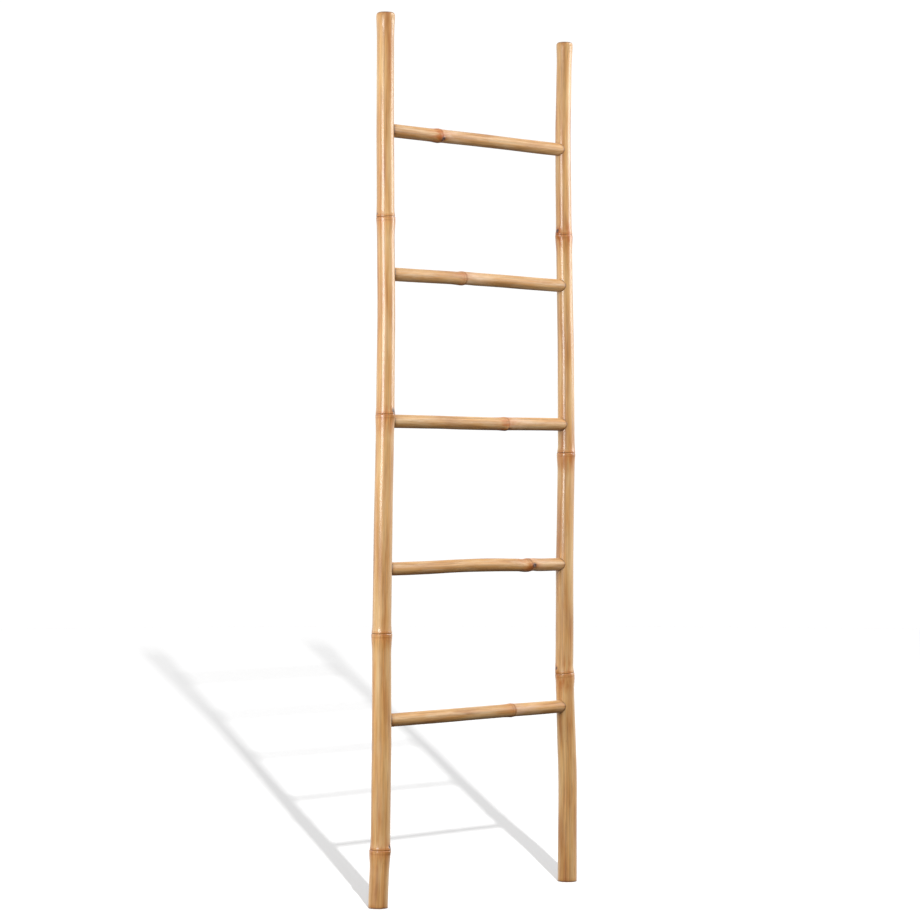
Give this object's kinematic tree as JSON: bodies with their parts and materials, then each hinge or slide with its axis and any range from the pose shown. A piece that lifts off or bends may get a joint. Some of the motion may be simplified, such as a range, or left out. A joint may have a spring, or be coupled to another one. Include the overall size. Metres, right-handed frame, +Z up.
{
  "type": "bamboo ladder rack",
  "caption": "Upright bamboo ladder rack with tapering natural poles and coped rungs, for hanging quilts, blankets and towels.",
  "frame": {"origin": "on the floor, midway between the two feet: the centre of the bottom of the bounding box", "axes": "+Z up along the poles, +X along the rungs from the left pole to the right pole, -Y towards the viewer in front"},
  "size_m": [0.5109, 0.0373, 1.502],
  "materials": {
    "pole_bamboo": "satin",
    "rung_bamboo": "satin",
    "hardwood": "matte",
    "pin_bamboo": "satin"
  },
  "bodies": {
    "root": {"left_pole": "pole_bamboo", "right_pole": "pole_bamboo", "rung_1": "rung_bamboo", "rung_2": "rung_bamboo", "rung_3": "rung_bamboo", "rung_4": "rung_bamboo", "rung_5": "rung_bamboo", "dowel_1_left": "hardwood", "dowel_1_right": "hardwood", "dowel_2_left": "hardwood", "dowel_2_right": "hardwood", "dowel_3_left": "hardwood", "dowel_3_right": "hardwood", "dowel_4_left": "hardwood", "dowel_4_right": "hardwood", "dowel_5_left": "hardwood", "dowel_5_right": "hardwood", "pin_1_left": "pin_bamboo", "pin_1_right": "pin_bamboo", "pin_2_left": "pin_bamboo", "pin_2_right": "pin_bamboo", "pin_3_left": "pin_bamboo", "pin_3_right": "pin_bamboo", "pin_4_left": "pin_bamboo", "pin_4_right": "pin_bamboo", "pin_5_left": "pin_bamboo", "pin_5_right": "pin_bamboo"}
  },
  "joints": []
}
